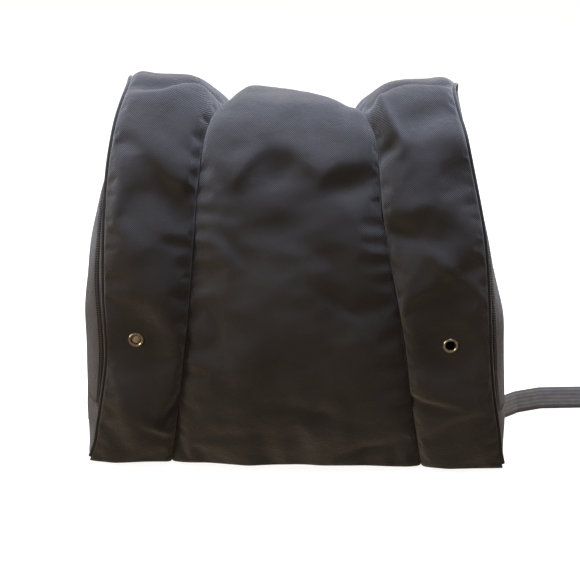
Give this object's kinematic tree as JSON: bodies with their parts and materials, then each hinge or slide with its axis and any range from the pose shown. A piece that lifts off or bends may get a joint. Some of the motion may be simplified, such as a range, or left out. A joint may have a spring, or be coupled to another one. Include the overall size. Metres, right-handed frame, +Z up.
{
  "type": "skate bag",
  "caption": "Padded upright skate bag with a puffed front, side boot pockets behind zipped gusset doors, a lidded centre compartment, vent eyelets and a webbing harness.",
  "frame": {"origin": "middle of the base, on the floor", "axes": "+X to the bag's right seen from the front, +Y from front to back, +Z up"},
  "size_m": [0.6659, 0.2653, 0.3965],
  "materials": {
    "padded_nylon": "matte",
    "lining": "satin",
    "back_mesh": "matte",
    "piping": "satin",
    "strap_padding": "matte",
    "webbing": "matte",
    "elastic": "matte",
    "zip_coil": "satin",
    "zip_metal": "satin",
    "eyelet_metal": "antique",
    "hard_plastic": "satin",
    "board": "matte"
  },
  "bodies": {
    "shell": {"back_panel": "back_mesh", "base_board": "board", "base_panel": "padded_nylon", "buckle_female": "hard_plastic", "buckle_male": "hard_plastic", "centre_front_panel": "padded_nylon", "left_back_piping": "piping", "left_divider": "lining", "left_eyelet": "eyelet_metal", "left_eyelet_washer": "eyelet_metal", "left_front_panel": "padded_nylon", "left_front_piping": "piping", "left_gusset_bottom": "padded_nylon", "left_gusset_front": "padded_nylon", "left_gusset_rear": "padded_nylon", "left_gusset_top": "padded_nylon", "left_handle_tab": "webbing", "left_ladder_lock": "hard_plastic", "left_shoulder_strap": "strap_padding", "left_strap_webbing": "webbing", "left_top": "padded_nylon", "left_waist_strap": "webbing", "left_zip_frame": "zip_coil", "lid_zip_back": "zip_coil", "right_back_piping": "piping", "right_divider": "lining", "right_eyelet": "eyelet_metal", "right_eyelet_washer": "eyelet_metal", "right_front_panel": "padded_nylon", "right_front_piping": "piping", "right_gusset_bottom": "padded_nylon", "right_gusset_front": "padded_nylon", "right_gusset_rear": "padded_nylon", "right_gusset_top": "padded_nylon", "right_handle_tab": "webbing", "right_ladder_lock": "hard_plastic", "right_shoulder_strap": "strap_padding", "right_strap_webbing": "webbing", "right_top": "padded_nylon", "right_waist_strap": "webbing", "right_zip_frame": "zip_coil", "strap_keeper": "elastic"},
    "right_door_body": {"right_door": "padded_nylon", "right_zip_door": "zip_coil"},
    "left_door_body": {"left_door": "padded_nylon", "left_zip_door": "zip_coil"},
    "lid_body": {"centre_lid": "padded_nylon", "lid_zip_lid": "zip_coil"},
    "right_slider_body": {"right_zip_slider": "zip_metal"},
    "left_slider_body": {"left_zip_slider": "zip_metal"},
    "lid_slider_body": {"lid_zip_slider": "zip_metal"},
    "right_pull_body": {"right_zip_pull": "zip_metal"},
    "left_pull_body": {"left_zip_pull": "zip_metal"},
    "lid_pull_body": {"lid_zip_pull": "zip_metal"},
    "handle_body": {"haul_handle": "webbing"}
  },
  "joints": [
    {"name": "right_door_hinge", "type": "hinge", "parent": "shell", "child": "right_door_body", "pos_m": [0.22931, 0, 0.062], "axis": [0, 1, 0], "range_deg": [0, 95]},
    {"name": "left_door_hinge", "type": "hinge", "parent": "shell", "child": "left_door_body", "pos_m": [-0.22931, 0, 0.062], "axis": [0, -1, 0], "range_deg": [0, 95]},
    {"name": "lid_hinge", "type": "hinge", "parent": "shell", "child": "lid_body", "pos_m": [0, -0.06, 0.3763], "axis": [1, 0, 0], "range_deg": [0, 95]},
    {"name": "right_slider_travel", "type": "slide", "parent": "shell", "child": "right_slider_body", "axis": [-0.095, 0, 0.9955], "range_m": [0, 0.2165]},
    {"name": "left_slider_travel", "type": "slide", "parent": "shell", "child": "left_slider_body", "axis": [0.095, 0, 0.9955], "range_m": [0, 0.2165]},
    {"name": "lid_slider_travel", "type": "slide", "parent": "shell", "child": "lid_slider_body", "axis": [1, 0, 0], "range_m": [0, 0.132]},
    {"name": "right_pull_swing", "type": "hinge", "parent": "right_slider_body", "child": "right_pull_body", "pos_m": [0.22275, 0.0755, 0.08061], "axis": [0, -1, 0], "range_deg": [0, 150]},
    {"name": "left_pull_swing", "type": "hinge", "parent": "left_slider_body", "child": "left_pull_body", "pos_m": [-0.22275, 0.0755, 0.08061], "axis": [0, 1, 0], "range_deg": [0, 150]},
    {"name": "lid_pull_swing", "type": "hinge", "parent": "lid_slider_body", "child": "lid_pull_body", "pos_m": [-0.066, 0.09306, 0.338], "axis": [1, 0, 0], "range_deg": [0, 150]},
    {"name": "haul_handle_swing", "type": "hinge", "parent": "shell", "child": "handle_body", "pos_m": [0, 0.096, 0.298], "axis": [1, 0, 0], "range_deg": [0, 150]}
  ]
}
